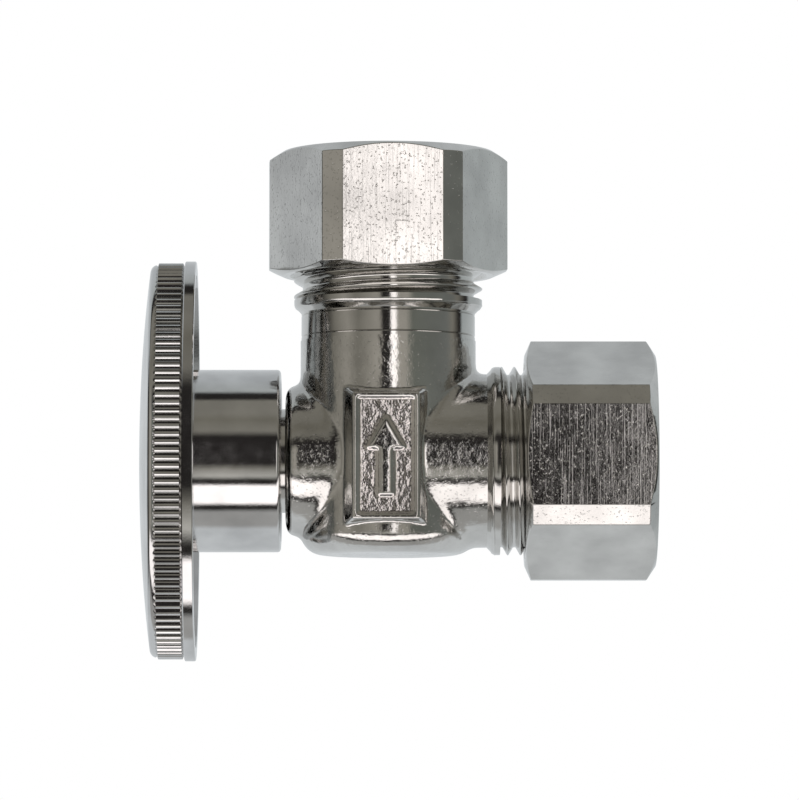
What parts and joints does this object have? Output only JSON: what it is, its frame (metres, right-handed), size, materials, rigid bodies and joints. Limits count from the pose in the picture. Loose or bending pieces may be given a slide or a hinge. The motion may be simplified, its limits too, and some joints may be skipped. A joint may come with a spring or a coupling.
{
  "type": "angle stop valve",
  "caption": "Chrome angle stop valve: compression inlet for a wall tube, slip joint outlet at a right angle, knurled oval handle on a rising stem.",
  "frame": {"origin": "centre of the inlet tube's stop, where the end of the wall tube seats in the body", "axes": "+X along the inlet tube as it leaves the valve (towards the wall), +Z along the outlet tube as it leaves the valve; stem and handle on -X"},
  "size_m": [0.0563, 0.0246, 0.0558],
  "materials": {
    "chrome_forging": "chrome-plated forged brass, bright but a little lumpy",
    "chrome_nut": "chrome-plated machined brass",
    "chrome_handle": "chrome-plated zinc die casting",
    "brass": "turned brass, unplated",
    "steel_screw": "zinc-plated steel",
    "black_rubber": "matt moulded rubber",
    "packing": "matt graphited packing"
  },
  "bodies": {
    "body": {"valve_body": "chrome_forging", "packing_nut": "chrome_nut", "packing_ring": "packing", "packing_washer": "brass"},
    "seat_disc": {"seat_washer": "black_rubber"},
    "spindle": {"stem": "brass", "seat_washer_screw": "brass", "handle": "chrome_handle", "handle_lock_washer": "steel_screw", "handle_screw": "steel_screw"},
    "inlet_seal": {"inlet_sleeve": "brass"},
    "inlet_nut": {"inlet_nut": "chrome_nut"},
    "outlet_seal": {"outlet_cone_washer": "black_rubber", "outlet_friction_ring": "brass"},
    "outlet_nut": {"outlet_nut": "chrome_nut"}
  },
  "joints": [
    {"name": "stem_travel", "type": "slide", "parent": "body", "child": "seat_disc", "axis": [-1, 0, 0], "range_m": [0, 0.00349]},
    {"name": "handle_turn", "type": "hinge", "parent": "seat_disc", "child": "spindle", "pos_m": [-0.03, 0, 0], "axis": [-1, 0, 0], "range_deg": [0, 990]},
    {"name": "inlet_nut_travel", "type": "slide", "parent": "body", "child": "inlet_seal", "axis": [1, 0, 0], "range_m": [0, 0.00565]},
    {"name": "inlet_nut_turn", "type": "hinge", "parent": "inlet_seal", "child": "inlet_nut", "pos_m": [0.01, 0, 0], "axis": [1, 0, 0], "range_deg": [0, 1440]},
    {"name": "outlet_nut_travel", "type": "slide", "parent": "body", "child": "outlet_seal", "axis": [0, 0, 1], "range_m": [0, 0.00726]},
    {"name": "outlet_nut_turn", "type": "hinge", "parent": "outlet_seal", "child": "outlet_nut", "pos_m": [-0.0115, 0, 0.025], "axis": [0, 0, 1], "range_deg": [0, 1440]}
  ],
  "couplings": [
    {"joint": "stem_travel", "follows": "handle_turn", "m_per_rad": 0.00020213},
    {"joint": "inlet_nut_travel", "follows": "inlet_nut_turn", "m_per_rad": 0.00022459},
    {"joint": "outlet_nut_travel", "follows": "outlet_nut_turn", "m_per_rad": 0.00028875}
  ]
}
